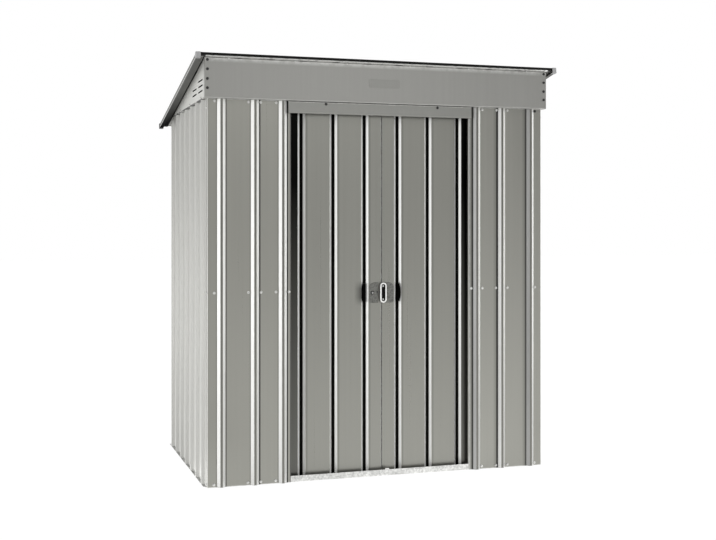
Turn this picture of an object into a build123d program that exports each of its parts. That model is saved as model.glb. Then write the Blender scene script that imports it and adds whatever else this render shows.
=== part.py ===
from build123d import *
import os
from math import cos, hypot, radians, sin, tan

# A metal tool shed with a single-slope roof and two sliding doors, in millimetres.
# The origin is on the ground under the middle of the walls. +X is right, +Y is back, +Z is up.

# Walls, measured over the flats of the sheets
wall_width = 1570
wall_depth = 1050
wall_height = 1660
sheet = 0.8
rail_sheet = 1.2

# Ridges pressed outwards into the wall sheets, and grooves pressed into the doors
ridge_pitch = 146
ridge_height = 12
ridge_base = 37
ridge_crown = 10
left_ridges = [60, 207, 330]
right_ridges = [57, 202, 327]
jamb_from_corner = 367
jamb_return = 15
corner_return = 25
lap = 22
bend = 2.5
corner_room = 5
foot_flange = 1.2

# Doors
seam_x = 8
door_set_back = 30
door_gap = 5
door_width = 440
door_bottom = 12
door_top = 1615
groove_from_seam = 78
groove_depth = 11
groove_base = 35
groove_floor = 13
groove_bend = 5

# Lock plates and pulls, beside the seam
lock_height = 817
plate_width = 55
plate_height = 91
plate_depth = 3
pull_width = 30
pull_length = 90
pull_rim = 6
grip_length = 84

# Rails inside the walls
mid_rail_height = 830
rail_height = 24
rail_depth = 22
track_width = 66
track_lip = 27
head_low = 1607
head_high = 1659
head_left = -432
head_right = 427

# Roof
roof_pitch = 10.4
roof_half_depth = 572
roof_half_width = 840
roof_front_base = 1838
roof_ridge_height = 10
fascia_half_width = 800
fascia_proud = 22
gable_plane = 798
trim_leg = 18
cap_size = 21
cap_low = -11.5
cap_high = 12.5

slope = radians(roof_pitch)
roof_length = 2 * roof_half_depth / cos(slope)
half_width = wall_width / 2
half_depth = wall_depth / 2


def offset_line(points, distance):
    """The same open line moved to its left, with mitred corners."""
    moved = []
    for i, (x, y) in enumerate(points):
        normals = []
        for a, b in ((i - 1, i), (i, i + 1)):
            if a < 0 or b >= len(points):
                continue
            dx, dy = points[b][0] - points[a][0], points[b][1] - points[a][1]
            normals.append((-dy / hypot(dx, dy), dx / hypot(dx, dy)))
        nx = sum(n[0] for n in normals) / len(normals)
        ny = sum(n[1] for n in normals) / len(normals)
        reach = distance / (nx * nx + ny * ny)
        moved.append((x + nx * reach, y + ny * reach))
    return moved


def bend_radii(points, thickness, towards_left, radius):
    """The radius at each inner corner of a line, tight inside a bend and wider outside it."""
    radii = []
    for (ax, ay), (bx, by), (cx, cy) in zip(points, points[1:], points[2:]):
        cross = (bx - ax) * (cy - by) - (by - ay) * (cx - bx)
        shortest = min(hypot(bx - ax, by - ay), hypot(cx - bx, cy - by))
        inside = (cross > 0) == towards_left
        radii.append(0 if shortest < 2.4 * radius else radius + (0 if inside else thickness))
    return radii


def folded(points, thickness, radius=bend):
    """The cross-section of a sheet bent along a line, thick towards the line's left."""
    moved = offset_line(points, thickness)
    face_line = FilletPolyline(*points, radius=bend_radii(points, thickness, False, radius))
    back_line = FilletPolyline(*moved, radius=bend_radii(points, thickness, True, radius))
    ends = [Line(face_line @ 0, back_line @ 0), Line(face_line @ 1, back_line @ 1)]
    return make_face([*face_line.edges(), *back_line.edges(), *ends])


def ridges(centres, height, base, crown):
    """The bends of a row of pressed ridges, as (along, outwards) pairs."""
    bends = []
    for centre in sorted(centres):
        bends += [
            (centre - base / 2, 0),
            (centre - crown / 2, height),
            (centre + crown / 2, height),
            (centre + base / 2, 0),
        ]
    return bends


# Each wall is a corner and a heading, anticlockwise round the shed seen from above.
front = ((-half_width, -half_depth), (1, 0))
right = ((half_width, -half_depth), (0, 1))
rear = ((half_width, half_depth), (-1, 0))


def on_wall(wall, points):
    """Turns (along, outwards) pairs into plan points on a wall."""
    (cx, cy), (hx, hy) = wall
    return [(cx + u * hx + v * hy, cy + u * hy - v * hx) for u, v in points]


def wall_sheet(wall, points, low=0, high=wall_height, radius=bend):
    """An upright sheet folded along a plan line."""
    plan = folded(on_wall(wall, points), sheet, radius)
    return Pos(0, 0, low) * extrude(plan, amount=high - low, dir=(0, 0, 1))


def wall_rail(wall, section, start, end, thickness=rail_sheet):
    """A rail along a wall, from its (inwards, height) section."""
    (cx, cy), (hx, hy) = wall
    plane = Plane(
        origin=(cx + start * hx, cy + start * hy, 0), x_dir=(-hy, hx, 0), z_dir=(hx, hy, 0)
    )
    return extrude(plane * folded(section, thickness), amount=end - start, dir=(hx, hy, 0))


def channel(outer, inner, low, high):
    """The section of a channel that opens into the shed."""
    return [(inner, high), (outer, high), (outer, low), (inner, low)]


def roof_base(y):
    """Height of the underside of the roof sheets at a depth."""
    return roof_front_base - (y + roof_half_depth) * tan(slope)


def on_roof(points):
    """Turns (down the slope, off the slope) pairs into (y, z) pairs."""
    return [
        (
            -roof_half_depth + s * cos(slope) + n * sin(slope),
            roof_front_base - s * sin(slope) + n * cos(slope),
        )
        for s, n in points
    ]


def across_roof(points, start, end, thickness):
    """A sheet folded along a line on the roof's slope, run from left to right."""
    face = Pos(start, 0, 0) * (Plane.YZ * folded(on_roof(points), thickness))
    return extrude(face, amount=end - start, dir=(1, 0, 0))


# The plane across the slope at its rear end, with x to the right and y off the roof
rear_end = Plane(
    origin=(0, roof_half_depth, roof_base(roof_half_depth)),
    x_dir=(1, 0, 0),
    z_dir=(0, -cos(slope), sin(slope)),
)


def up_roof(face, start, end):
    """Extrudes an (x, off the slope) face up the roof, between distances from its front edge."""
    placed = rear_end * (Pos(0, 0, roof_length - end) * face)
    return extrude(placed, amount=end - start, dir=(0, -cos(slope), sin(slope)))


above_roof = extrude(
    Plane.YZ * Polygon(
        *on_roof([(-50, 0), (-50, 400), (roof_length + 50, 400), (roof_length + 50, 0)]), align=None
    ),
    amount=1000,
    both=True,
)

pieces = {}

# Wall sheets: the front and rear ones turn the corners, and the side ones lap inside them.
edge = [(0, -corner_return), (0, 0)]
far_edge = [(wall_width, 0), (wall_width, -corner_return)]
jamb_x = jamb_from_corner - half_width


def front_sheet(centres):
    """The wall beside the doorway, on the left, with its jamb cleared of the rails."""
    solid = wall_sheet(
        front,
        edge
        + ridges(centres, ridge_height, ridge_base, ridge_crown)
        + [(jamb_from_corner, 0), (jamb_from_corner, -jamb_return)],
    )
    for low, high in ((0, track_lip + 1), (head_low - 1, wall_height)):
        relief = Pos(jamb_x - 2, -half_depth + sheet + jamb_return / 2, (low + high) / 2)
        solid -= relief * Box(6, jamb_return, high - low)
    return solid


pieces["front_wall_left"] = front_sheet(left_ridges)
pieces["front_wall_right"] = mirror(front_sheet(right_ridges), about=Plane.YZ)

rear_count = int(wall_width / 2 / ridge_pitch)
rear_ridges = [half_width + ridge_pitch * k for k in range(-rear_count, rear_count + 1)]
rear_joint = half_width + ridge_pitch / 2
joggle = [(rear_joint - lap, sheet), (rear_joint + sheet, sheet), (rear_joint + 2 * sheet, 0)]
pieces["rear_wall_right"] = wall_sheet(
    rear,
    edge
    + ridges([u for u in rear_ridges if u < rear_joint], ridge_height, ridge_base, ridge_crown)
    + [(rear_joint, 0)],
    foot_flange,
) - above_roof
pieces["rear_wall_left"] = wall_sheet(
    rear,
    joggle
    + ridges([u for u in rear_ridges if u > rear_joint], ridge_height, ridge_base, ridge_crown)
    + far_edge,
    foot_flange,
) - above_roof

side_ridges = [half_depth + ridge_pitch * k for k in range(-3, 4)]
side_joint = half_depth + ridge_pitch / 2
lap_end = corner_return + sheet
side_front = wall_sheet(
    right,
    [(corner_room, -sheet), (lap_end, -sheet), (lap_end + sheet, 0)]
    + ridges([u for u in side_ridges if u < side_joint], ridge_height, ridge_base, ridge_crown)
    + [(side_joint, 0)],
    foot_flange,
)
side_rear = wall_sheet(
    right,
    [(side_joint - lap, sheet), (side_joint + sheet, sheet), (side_joint + 2 * sheet, 0)]
    + ridges([u for u in side_ridges if u > side_joint], ridge_height, ridge_base, ridge_crown)
    + [(wall_depth - lap_end - sheet, 0), (wall_depth - lap_end, -sheet)]
    + [(wall_depth - corner_room, -sheet)],
    foot_flange,
) - above_roof
pieces["side_wall_right_front"] = side_front
pieces["side_wall_right_rear"] = side_rear
pieces["side_wall_left_front"] = mirror(side_front, about=Plane.YZ)
pieces["side_wall_left_rear"] = mirror(side_rear, about=Plane.YZ)

# Base rails: the front one is the doors' track, with a stop at the seam. The others have a foot
# under the sheets that reaches out to the ridges' crowns.
track = wall_rail(
    front,
    [(sheet, track_lip), (sheet, 0), (track_width, 0), (track_width, 20)],
    corner_room,
    wall_width - corner_room,
)
stop = Pos(24, -half_depth - 0.3, 21) * Box(18, 2.2, 24)
pieces["base_rail_front"] = track + stop
base_section = [(sheet, 30), (sheet, 0), (40, 0), (40, 10)]
side_rail = wall_rail(right, base_section, track_width, wall_depth - lap_end - 2)
foot_width = ridge_height + sheet + 1
foot_inset = 2 * (lap_end + 2)
side_foot = Box(foot_width, wall_depth - foot_inset, foot_flange)
side_rail += Pos(half_width + ridge_height - foot_width / 2, 0, foot_flange / 2) * side_foot
pieces["base_rail_right"] = side_rail
pieces["base_rail_left"] = mirror(pieces["base_rail_right"], about=Plane.YZ)
rear_rail = wall_rail(
    rear, [(sheet, 30), (sheet, 0), (25, 0), (25, 10)], corner_room, wall_width - corner_room
)
rear_foot = Box(wall_width - foot_inset, foot_width, foot_flange)
rear_rail += Pos(0, half_depth + ridge_height - foot_width / 2, foot_flange / 2) * rear_foot
pieces["base_rail_rear"] = rear_rail

# Rails at mid height and at the top of the walls
mid_section = channel(
    sheet, rail_depth, mid_rail_height - rail_height / 2, mid_rail_height + rail_height / 2
)
top_section = channel(sheet, rail_depth, 1610, 1634)
pieces["mid_rail_front_left"] = wall_rail(
    front, mid_section, corner_room, jamb_from_corner - corner_room
)
pieces["mid_rail_front_right"] = mirror(pieces["mid_rail_front_left"], about=Plane.YZ)
pieces["mid_rail_right"] = wall_rail(right, mid_section, lap_end + 1.5, wall_depth - lap_end - 1.5)
pieces["mid_rail_left"] = mirror(pieces["mid_rail_right"], about=Plane.YZ)
pieces["mid_rail_rear"] = wall_rail(rear, mid_section, corner_room, wall_width - corner_room)
pieces["top_rail_right"] = wall_rail(right, top_section, track_width, wall_depth - lap_end - 1.5)
pieces["top_rail_left"] = mirror(pieces["top_rail_right"], about=Plane.YZ)
pieces["top_rail_rear"] = wall_rail(rear, top_section, corner_room, wall_width - corner_room)

# The rail that the doors hang in, open below, and the rail over the doorway in front of it
pieces["door_hanging_rail"] = wall_rail(
    front,
    [(62, 1630), (62, wall_height), (sheet, wall_height), (sheet, head_low)],
    corner_room,
    wall_width - corner_room,
)
head_rail = wall_rail(
    front,
    [(0, head_high), (-ridge_height, head_high), (-ridge_height, head_low), (0, head_low)],
    half_width + head_left,
    half_width + head_right,
    sheet,
)
head_end = Box(sheet, ridge_height - 2 * sheet, head_high - head_low - 2 * sheet)
for x in (head_left + 1.5 * sheet, head_right - 1.5 * sheet):
    head_rail += Pos(x, -half_depth - ridge_height / 2, (head_low + head_high) / 2) * head_end
pieces["door_head_rail"] = head_rail

# Fascia: a folded panel over the doorway, with a flange that follows the roof
fascia_front = -half_depth - fascia_proud
panel = wall_rail(
    front,
    [
        (10, roof_base(-half_depth + 10)),
        (-fascia_proud, roof_base(fascia_front)),
        (-fascia_proud, wall_height),
        (40, wall_height),
    ],
    half_width - fascia_half_width,
    half_width + fascia_half_width,
    sheet,
)
end_plate = extrude(
    Plane.YZ * Polygon(
        (fascia_front, wall_height),
        (fascia_front + 20, wall_height),
        (fascia_front + 20, roof_base(fascia_front + 20)),
        (fascia_front, roof_base(fascia_front)),
        align=None,
    ),
    amount=sheet,
    dir=(1, 0, 0),
)
fascia = panel + Pos(-fascia_half_width, 0, 0) * end_plate
pieces["fascia_front"] = fascia + Pos(fascia_half_width - sheet, 0, 0) * end_plate

# Gable panels: triangles with flanges and staggered ventilation slots
gable_low = wall_height + sheet
gable_front = fascia_front + corner_room
gable_back = 388
flange_drop = sheet / cos(slope)
gable = extrude(
    Plane.YZ * Polygon(
        (gable_front, gable_low),
        (gable_back, gable_low),
        (gable_back, roof_base(gable_back) - flange_drop),
        (gable_front, roof_base(gable_front) - flange_drop),
        align=None,
    ),
    amount=sheet,
    dir=(1, 0, 0),
)
gable += extrude(
    Plane.YZ * Pos((gable_front + 360) / 2, gable_low + sheet / 2) * Rectangle(360 - gable_front, sheet),
    amount=32,
    dir=(1, 0, 0),
)
flange_start = -half_depth + 12
gable += extrude(
    Plane.YZ * Polygon(
        (flange_start, roof_base(flange_start) - flange_drop),
        (360, roof_base(360) - flange_drop),
        (360, roof_base(360)),
        (flange_start, roof_base(flange_start)),
        align=None,
    ),
    amount=20,
    dir=(1, 0, 0),
)
slots = [(-430, 1744.5), (-430, 1721), (-430, 1697.5), (-275, 1721), (-275, 1697.5)]
for y, z in slots:
    gable -= Pos(0, y, z) * extrude(Plane.YZ * SlotOverall(110, 7), amount=10, both=True)
pieces["gable_left"] = Pos(-gable_plane, 0, 0) * gable
pieces["gable_right"] = mirror(pieces["gable_left"], about=Plane.YZ)

# Roof sheets: ribbed down the slope and lapped at the middle, with notched corners
rib_centres = [ridge_pitch * (k + 0.5) for k in range(5)]
sheet_edge = roof_half_width - 4
left_line = [(-sheet_edge, 0)]
left_line += ridges([-c for c in rib_centres], roof_ridge_height, ridge_base, ridge_crown)
left_line += [(lap, 0)]
right_line = [(0, sheet), (lap + sheet, sheet), (lap + 2 * sheet, 0)]
right_line += ridges(rib_centres, roof_ridge_height, ridge_base, ridge_crown) + [(sheet_edge, 0)]
notch_width = sheet_edge - (roof_half_width - cap_size) + 2
notch = Pos(sheet_edge - notch_width / 2, 0, 0) * Rectangle(notch_width, 60)
for name, line, side in (("roof_sheet_left", left_line, -1), ("roof_sheet_right", right_line, 1)):
    roof = up_roof(folded(line, sheet), 4, roof_length - 4)
    cutter = notch if side > 0 else mirror(notch, about=Plane.YZ)
    roof -= up_roof(cutter, 0, cap_size)
    roof -= up_roof(cutter, roof_length - cap_size, roof_length)
    pieces[name] = roof

# A beam under the roof sheets, halfway down the slope
middle = roof_length / 2
beam_line = [(middle + 25, 0), (middle, 0), (middle, -35), (middle + 25, -35)]
pieces["roof_beam"] = across_roof(beam_line, -gable_plane + 22, gable_plane - 22, rail_sheet)

# Roof trims: channels that grip the sheets' edges between the corner caps
trim_end = roof_half_width - cap_size + 2
trim_low = -2 * sheet
pieces["roof_trim_front"] = across_roof(
    [(trim_leg, 12), (0, 12), (0, trim_low), (trim_leg, trim_low)], -trim_end, trim_end, sheet
)
foot = roof_length
pieces["roof_trim_rear"] = across_roof(
    [(foot - trim_leg, trim_low), (foot, trim_low), (foot, 12), (foot - trim_leg, 12)],
    -trim_end,
    trim_end,
    sheet,
)
side_trim_line = [
    (-roof_half_width + trim_leg, 12),
    (-roof_half_width, 12),
    (-roof_half_width, -11),
    (-roof_half_width + trim_leg, -11),
]
side_trim = up_roof(folded(side_trim_line, sheet), cap_size - 2, roof_length - cap_size + 2)
pieces["roof_trim_left"] = side_trim
pieces["roof_trim_right"] = mirror(side_trim, about=Plane.YZ)

# Corner caps: hollow moulded corners, open towards the trims
cap_wall = 2
cap_height = cap_high - cap_low
cap_middle = (cap_high + cap_low) / 2
cap_x = -roof_half_width - 2 + cap_size / 2
cap_outer = up_roof(Pos(cap_x, cap_middle) * Rectangle(cap_size, cap_height), -2, cap_size - 2)
off_roof = Axis((0, 0, 0), (0, sin(slope), cos(slope)))
outer_corner = cap_outer.edges().filter_by(off_roof).group_by(Axis.X)[0].sort_by(Axis.Y)[0]
cap_outer = fillet(outer_corner, 5)
cap_pocket = up_roof(
    Pos(cap_x + cap_wall, cap_middle) * Rectangle(cap_size, cap_height - 2 * cap_wall),
    -2 + cap_wall,
    cap_size,
)
cap = cap_outer - cap_pocket
pieces["roof_cap_front_left"] = cap
pieces["roof_cap_front_right"] = mirror(cap, about=Plane.YZ)
centre = Vector(0, 0, (roof_base(-roof_half_depth) + roof_base(roof_half_depth)) / 2)
turned = Pos(centre) * Rot(180, 0, 0) * Pos(-centre) * cap
pieces["roof_cap_rear_left"] = turned
pieces["roof_cap_rear_right"] = mirror(turned, about=Plane.YZ)

# Doors: a grooved leaf with stiffeners, runners at the top and guides at the bottom
door_face = -half_depth + door_set_back
seam_plane = Plane(origin=(seam_x, 0, 0), x_dir=(0, 1, 0), z_dir=(1, 0, 0))
door_wall = ((seam_x - door_width, door_face), (1, 0))
groove_centres = [door_width - groove_from_seam - ridge_pitch * k for k in range(3)]
leaf_line = [(0, -groove_depth - 2), (0, 0)]
leaf_line += ridges(groove_centres, -groove_depth, groove_base, groove_floor)
leaf_line += [(door_width - door_gap / 2, 0)]
leaf = wall_sheet(door_wall, leaf_line, door_bottom, door_top, groove_bend)
pieces["door_leaf_left"] = leaf
pieces["door_leaf_right"] = mirror(leaf, about=seam_plane)

brace_section = channel(-groove_depth - sheet, -groove_depth - sheet - 13, 0, 30)
brace_section = [(-inwards, height) for inwards, height in brace_section]
braces = Part() + [
    Pos(0, 0, low) * wall_rail(door_wall, brace_section, 8, door_width - 28, sheet)
    for low in (45, lock_height - 15, 1560)
]
pieces["door_braces_left"] = braces
pieces["door_braces_right"] = mirror(braces, about=seam_plane)

leaf_back = door_face + sheet
runners = Part()
for x in (seam_x - 408, seam_x - 43):
    hanger = Pos(x, leaf_back + 1.5, 1607) * Box(22, 3, 46)
    hanger += Pos(x, leaf_back + 6, 1632) * Rot(90, 0, 0) * Cylinder(4, 8)
    wheel = Pos(x, leaf_back + 10, 1632) * Rot(90, 0, 0) * Cylinder(11, 7)
    wheel -= Pos(x, leaf_back + 10, 1632) * Rot(90, 0, 0) * Torus(11, 1.5)
    guide = Pos(x, leaf_back + 3, 29) * Box(22, 6, 44)
    runners += [hanger + wheel, guide]
pieces["door_runners_left"] = runners
pieces["door_runners_right"] = mirror(runners, about=seam_plane)

# A stepped strip behind the seam, fixed to the left leaf only
strip_face = door_set_back + sheet
strip_line = [(-22, -strip_face), (-11, -strip_face), (-5, -strip_face - 6), (13, -strip_face - 6)]
seam_wall = ((seam_x, -half_depth), (1, 0))
pieces["door_seam_strip"] = wall_sheet(seam_wall, strip_line, door_bottom, door_top)

# Lock plates: rounded away from the seam, with a grip seated in the groove beside each
door_plane = Plane(origin=(seam_x, door_face, 0), x_dir=(1, 0, 0), z_dir=(0, -1, 0))


def off_door(face, start, end):
    """Extrudes an (x from the seam, height) face off the doors' plane."""
    return extrude(door_plane * Pos(0, 0, start) * face, amount=end - start, dir=(0, -1, 0))


def lock_plate(near, far):
    """A plate on the left leaf, from its edge near the seam to its rounded edge."""
    face = Pos(-(near + far) / 2, lock_height) * Rectangle(far - near, plate_height)
    low_corner, high_corner = face.vertices().group_by(Axis.X)[0].sort_by(Axis.Y)
    face = fillet(high_corner, 26)
    face = fillet(face.vertices().sort_by_distance((-far, lock_height - plate_height / 2))[0], 10)
    solid = off_door(face, 0, plate_depth)
    return chamfer(solid.faces().sort_by(Axis.Y)[0].edges(), 1)


def grip(inner_edge, outer_edge):
    """A lens-shaped grip in a groove, seated on the groove's floor and its outer slope."""
    bulge = 9
    chord = outer_edge - bulge
    low = lock_height - grip_length / 2
    high = lock_height + grip_length / 2
    arc = ThreePointArc((-chord, low), (-outer_edge, lock_height), (-chord, high))
    ends = Polyline((-chord, high), (-inner_edge, high), (-inner_edge, low), (-chord, low))
    solid = off_door(make_face([arc, *ends.edges()]), -groove_depth, 0)
    middle, half_floor, half_mouth = groove_from_seam, groove_floor / 2, groove_base / 2
    room = Polygon(
        (seam_x - inner_edge, door_face),
        (seam_x - middle - half_mouth + 3, door_face),
        (seam_x - middle - half_floor + 2.5, door_face + groove_depth),
        (seam_x - inner_edge, door_face + groove_depth),
        align=None,
    )
    return solid & (Pos(0, 0, low - 1) * extrude(room, grip_length + 2, dir=(0, 0, 1)))


pieces["lock_plate_left"] = Part() + [lock_plate(17, 3 + plate_width), grip(80.5, 94.5)]

# The right plate carries the pull: an oblong cup that reaches over the seam, clear of the left leaf
pull_x = 4
pull_back = 8.5
pull_front = 18
oblong = Pos(pull_x, lock_height) * Rot(0, 0, 90)
pull = off_door(oblong * SlotOverall(pull_length, pull_width), pull_back, pull_front)
foot = oblong * SlotOverall(pull_length, pull_width)
foot &= Pos(door_gap / 2 + 50, lock_height) * Rectangle(100, 2 * pull_length)
pull += off_door(foot, 0, pull_back)
rim = pull.faces().sort_by(Axis.Y)[0].edges()
pull = fillet(rim, 1.5)
inner = SlotOverall(pull_length - 2 * pull_rim, pull_width - 2 * pull_rim)
pull -= off_door(oblong * inner, pull_back + 2, pull_front)
right_plate = mirror(lock_plate(3, 3 + plate_width), about=seam_plane)
right_grip = mirror(grip(77.5, 92), about=seam_plane)
pieces["lock_plate_right"] = Part() + [right_plate + pull, right_grip]

os.makedirs("parts", exist_ok=True)
for name, piece in pieces.items():
    export_step(piece, f"parts/{name}.step")
    print(name, round(piece.volume / 1000, 1), "cm3")
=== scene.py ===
# %% [markdown]
# # A metal tool shed
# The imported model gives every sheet, rail and door of the shed in place, in metres.
# This lesson adds what the solids leave out: the finish of the coated steel, the screws
# that hold the sheets, the plain plate on the fascia, and a studio to see it all in.

# %% Load the shed
from math import radians
import bpy
import bmesh
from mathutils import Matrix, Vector


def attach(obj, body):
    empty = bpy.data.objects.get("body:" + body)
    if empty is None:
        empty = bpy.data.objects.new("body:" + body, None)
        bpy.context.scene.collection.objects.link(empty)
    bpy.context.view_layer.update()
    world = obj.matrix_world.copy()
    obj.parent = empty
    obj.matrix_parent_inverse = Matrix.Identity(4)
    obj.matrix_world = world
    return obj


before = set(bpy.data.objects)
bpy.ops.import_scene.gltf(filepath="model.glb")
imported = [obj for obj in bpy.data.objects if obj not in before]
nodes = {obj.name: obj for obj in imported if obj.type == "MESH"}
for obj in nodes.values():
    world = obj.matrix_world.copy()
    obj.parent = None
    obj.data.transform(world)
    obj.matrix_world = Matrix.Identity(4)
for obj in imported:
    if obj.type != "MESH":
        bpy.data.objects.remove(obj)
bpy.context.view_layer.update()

# %% [markdown]
# ## The camera
# The photograph was taken from the front left, at the height of a standing person's chest.
# The camera is level, so upright edges stay upright, and the picture is shifted down
# instead of tilting the lens, as an architectural photographer does. The Standard view
# shows the greys of the finishes as they are.

# %% Place the camera
CAMERA_PLACE = (-1.631, -5.318, 1.124)
CAMERA_TURN = -17.586
LENS = 57.0
PICTURE_SHIFT = -0.0641

camera_data = bpy.data.cameras.new("camera")
camera_data.sensor_width = 36
camera_data.lens = LENS
camera_data.shift_y = PICTURE_SHIFT
camera = bpy.data.objects.new("camera", camera_data)
camera.location = CAMERA_PLACE
camera.rotation_euler = (radians(90), 0, radians(CAMERA_TURN))
scene = bpy.context.scene
scene.view_settings.view_transform = "Standard"
scene.collection.objects.link(camera)
scene.camera = camera
print("camera", tuple(camera.location), "lens", camera_data.lens)

# %% [markdown]
# ## Helpers for node trees
# The finishes, the room and the floor are all trees of nodes. Wired one by one, each node
# takes four or five lines, so a few helpers make the kinds that come back again: a maths
# node, a map from one span to another, and the X, Y and Z of a vector. Each helper returns
# a socket for the next one to read, so that a tree can be written like a sum.

# %% Maths and vectors


def fill(tree, socket, value):
    """Links an input to another node's socket, or sets it to a plain value."""
    if isinstance(value, bpy.types.NodeSocket):
        tree.links.new(value, socket)
    else:
        socket.default_value = value


def math_node(tree, operation, a, b=None, clamp=False):
    """A maths node; each input is a socket or a number."""
    node = tree.nodes.new("ShaderNodeMath")
    node.operation, node.use_clamp = operation, clamp
    for socket, value in zip(node.inputs, (a, b)):
        if value is not None:
            fill(tree, socket, value)
    return node.outputs[0]


def product(tree, first, *others, clamp=False):
    """The product of sockets and numbers."""
    for other in others:
        first = math_node(tree, "MULTIPLY", first, other, clamp)
    return first


def most(tree, masks):
    """The greatest of several masks."""
    total, *rest = masks
    for mask in rest:
        total = math_node(tree, "MAXIMUM", total, mask)
    return total


def span(tree, value, low, high, to_low=0.0, to_high=1.0):
    """Maps a value from one span to another, held at both ends."""
    node = tree.nodes.new("ShaderNodeMapRange")
    fill(tree, node.inputs["Value"], value)
    for name, number in zip(("From Min", "From Max", "To Min", "To Max"), (low, high, to_low, to_high)):
        node.inputs[name].default_value = number
    return node.outputs["Result"]


def parts_of(tree, vector):
    """The X, Y and Z of a vector."""
    node = tree.nodes.new("ShaderNodeSeparateXYZ")
    fill(tree, node.inputs[0], vector)
    return node.outputs


print("maths helpers ready")

# %% [markdown]
# A node group is a small tree with named inputs and outputs. It is built once and placed
# wherever it is used, so what several finishes share has to be right in one place only.

# %% Node groups


def new_group(name, inputs, outputs):
    """A shader node group with named sockets, and what reads and fills them from inside."""
    group = bpy.data.node_groups.new(name, "ShaderNodeTree")
    for side, sockets in (("INPUT", inputs), ("OUTPUT", outputs)):
        for key, kind in sockets.items():
            group.interface.new_socket(name=key, in_out=side, socket_type="NodeSocket" + kind)
    return group, group.nodes.new("NodeGroupInput").outputs, group.nodes.new("NodeGroupOutput").inputs


def use_group(tree, group, **values):
    """Places a group in a tree and fills its inputs."""
    node = tree.nodes.new("ShaderNodeGroup")
    node.node_tree = group
    for key, value in values.items():
        fill(tree, node.inputs[key], value)
    return node.outputs


print("group helpers ready")

# %% [markdown]
# ## The studio
# Satin metal shows what stands around it, so the room matters as much as the finish. The
# flats of the sheets face a plain white room. The slopes of the ridges face the two sides,
# where tall soft boxes stand. Photographers also hang dark cloths between the boxes and
# the room, because they draw a thin dark line into every fold. One node group holds these
# bands as a strength for each direction, and the room and the floor both use it.

# %% The bands of the room
ROOM_STOPS = [(-180, 1.0), (-100, 1.0), (-56, 0.75), (-46, 0.3), (-22, 0.3), (-8, 0.95), (40, 1.0),
              (46, 0.3), (60, 0.3), (66, 0.8), (120, 1.0), (180, 1.0)]
BOX_STOPS = [(-180, 0.0), (-90, 0.0), (-84, 1.0), (-58, 1.0), (-52, 0.0), (60, 0.0), (66, 1.0),
             (98, 1.0), (104, 0.0), (180, 0.0)]

bands, looking, strengths = new_group(
    "studio_bands", {"Direction": "Vector"}, {"Room": "Float", "Boxes": "Float"}
)
direction = parts_of(bands, looking["Direction"])
azimuth = math_node(bands, "ARCTAN2", direction["X"], product(bands, direction["Y"], -1.0))


def band_curve(stops):
    """A strength over the whole turn, from (degrees from the front, strength) stops."""
    node = bands.nodes.new("ShaderNodeFloatCurve")
    curve = node.mapping.curves[0]
    for i, (angle, strength) in enumerate(stops):
        x = (angle + 180) / 360
        point = curve.points[i] if i < 2 else curve.points.new(x, strength)
        point.location = (x, strength)
        point.handle_type = "VECTOR"
    node.mapping.update()
    fill(bands, node.inputs["Value"], span(bands, azimuth, radians(-180), radians(180)))
    return node.outputs["Value"]


fill(bands, strengths["Room"], band_curve(ROOM_STOPS))
fill(bands, strengths["Boxes"], band_curve(BOX_STOPS))
print("bands", [angle for angle, _ in ROOM_STOPS])

# %% [markdown]
# The camera sees a white room. Glossy rays see the white room with its bands, so that the
# metal shows them too. All other rays see a calmer room, which lights the shed at a plain
# level: its colours stay as written and nothing pale turns to blank white. Two helpers do
# this for the room and the floor alike: one drives a strength, one picks between shaders.

# %% What each kind of ray sees


def seen_by_metal(tree, way, strength, room_level, box_level, fade, least=0.0, camera_level=1.0):
    """Drives a strength with a level for the camera and the bands for the other rays.

    Returns a mask of the camera, glossy and transmission rays."""
    levels = use_group(tree, bands, Direction=way)
    walls = product(tree, levels["Room"], room_level, fade)
    both = math_node(tree, "ADD", walls, product(tree, levels["Boxes"], box_level))
    rays = tree.nodes.new("ShaderNodeLightPath").outputs
    pick = tree.nodes.new("ShaderNodeMix")
    fill(tree, pick.inputs[0], rays["Is Camera Ray"])
    fill(tree, pick.inputs[2], math_node(tree, "MAXIMUM", both, least))
    fill(tree, pick.inputs[3], camera_level)
    fill(tree, strength, pick.outputs[0])
    return most(tree, [rays["Is Camera Ray"], rays["Is Transmission Ray"], rays["Is Glossy Ray"]])


def pick_shader(tree, mask, hidden, seen, surface):
    """Links a surface to one of two shaders, by a mask."""
    mix = tree.nodes.new("ShaderNodeMixShader")
    for socket, value in zip(mix.inputs, (mask, hidden, seen)):
        fill(tree, socket, value)
    fill(tree, surface, mix.outputs[0])


print("ray helpers ready")

# %% [markdown]
# The room is brightest at the height of the horizon and darker above it in front, as where
# a ceiling hangs low over a set, so the flats of the doors shade gently from top to foot.
# Higher up it is bright again, for the roof.

# %% The room
ROOM_LIGHT = 0.62
WHITE_ROOM = 0.9
WHITE = (1, 1, 1, 1)
LOW_FRONT = (0.0, 0.105, 1.05, 0.20)  # from and to this height, with these two strengths
CEILING = (0.28, 0.50, 0.0, 0.90)

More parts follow.
